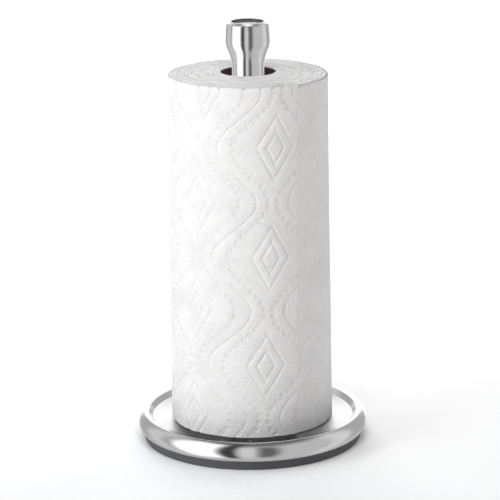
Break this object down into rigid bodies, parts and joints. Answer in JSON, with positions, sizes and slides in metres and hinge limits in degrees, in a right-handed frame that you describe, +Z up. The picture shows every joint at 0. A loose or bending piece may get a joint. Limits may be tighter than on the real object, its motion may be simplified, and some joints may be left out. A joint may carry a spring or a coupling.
{
  "type": "paper towel holder",
  "caption": "Countertop paper towel holder: weighted round steel base with rubber foot, braked turning post with spring arms and flared steel handle, loaded with an embossed towel roll.",
  "frame": {"origin": "the post's axis at the underside of the rubber foot, which stands on the counter", "axes": "+Z up along the post; -Y towards the viewer; the roll's free edge is to the right of the front"},
  "size_m": [0.1842, 0.1842, 0.338],
  "materials": {
    "cover_steel": "satin",
    "post_steel": "satin",
    "cap_steel": "gloss",
    "zinc_steel": "satin",
    "spring_steel": "satin",
    "cast_iron": "matte",
    "foot_rubber": "matte",
    "black_plastic": "matte",
    "turntable_plastic": "matte",
    "acetal": "satin",
    "bronze": "satin",
    "brake_felt": "matte",
    "core_board": "matte",
    "towel_paper": "matte"
  },
  "bodies": {
    "base": {"base_cover": "cover_steel", "cover_studs": "zinc_steel", "ballast_weight": "cast_iron", "ballast_nuts": "zinc_steel", "nonslip_ring": "foot_rubber", "bottom_plate": "black_plastic", "bottom_plate_screws": "zinc_steel", "bearing_housing": "acetal", "housing_screws": "zinc_steel", "spindle_bushing": "bronze", "thrust_washer": "acetal", "brake_pad": "brake_felt"},
    "post": {"turntable": "turntable_plastic", "spindle": "zinc_steel", "drag_plate": "zinc_steel", "disc_spring": "spring_steel", "spindle_nut": "zinc_steel", "post_tube": "post_steel", "arm_carrier": "black_plastic", "arm_pins": "zinc_steel", "arm_guide": "black_plastic", "post_rivets": "zinc_steel", "tie_rod": "zinc_steel", "tie_rod_washer": "zinc_steel", "tie_rod_nut": "zinc_steel", "handle_core": "black_plastic", "handle_shell": "post_steel", "handle_cap": "cap_steel"},
    "arm_1": {"spring_arm_1": "spring_steel"},
    "arm_2": {"spring_arm_2": "spring_steel"},
    "arm_3": {"spring_arm_3": "spring_steel"},
    "arm_4": {"spring_arm_4": "spring_steel"},
    "roll": {"core_tube": "core_board", "towel_roll": "towel_paper", "outer_sheet": "towel_paper"}
  },
  "joints": [
    {"name": "post_spin", "type": "hinge", "parent": "base", "child": "post", "pos_m": [0, 0, 0.0183], "axis": [0, 0, 1], "continuous": true},
    {"name": "arm_1_flex", "type": "hinge", "parent": "post", "child": "arm_1", "pos_m": [0.008, 0, 0.092], "axis": [0, 1, 0], "range_deg": [-2.5, 0], "stiffness_Nm_per_rad": 1.5, "springref_deg": 3.44},
    {"name": "arm_2_flex", "type": "hinge", "parent": "post", "child": "arm_2", "pos_m": [0, 0.008, 0.092], "axis": [-1, 0, 0], "range_deg": [-2.5, 0], "stiffness_Nm_per_rad": 1.5, "springref_deg": 3.44},
    {"name": "arm_3_flex", "type": "hinge", "parent": "post", "child": "arm_3", "pos_m": [-0.008, 0, 0.092], "axis": [0, -1, 0], "range_deg": [-2.5, 0], "stiffness_Nm_per_rad": 1.5, "springref_deg": 3.44},
    {"name": "arm_4_flex", "type": "hinge", "parent": "post", "child": "arm_4", "pos_m": [0, -0.008, 0.092], "axis": [1, 0, 0], "range_deg": [-2.5, 0], "stiffness_Nm_per_rad": 1.5, "springref_deg": 3.44},
    {"name": "roll_lift", "type": "slide", "parent": "post", "child": "roll", "axis": [0, 0, 1], "range_m": [0, 0.34]}
  ]
}
